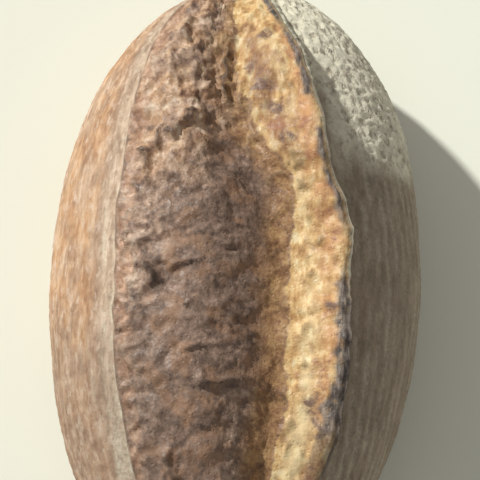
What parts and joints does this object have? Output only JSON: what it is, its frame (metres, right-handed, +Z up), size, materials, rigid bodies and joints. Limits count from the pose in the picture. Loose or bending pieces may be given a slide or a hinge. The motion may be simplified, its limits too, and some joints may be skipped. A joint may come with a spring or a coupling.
{
  "type": "sourdough loaf",
  "caption": "Long oval sourdough loaf on a flat base, split open along one lengthwise slash, with a lifted crust ear beside a craggy risen middle.",
  "frame": {"origin": "middle of the loaf's box, on the flat base", "axes": "+Z up from the base, +Y along the loaf's length to its fuller end, +X to the ear's side"},
  "size_m": [0.1488, 0.2682, 0.0956],
  "materials": {
    "crust": "baked bread crust, matt and uneven: floury orange-brown sides, dark toasted split, pale gold inner face of the ear"
  },
  "bodies": {
    "root": {"loaf": "crust"}
  },
  "joints": []
}
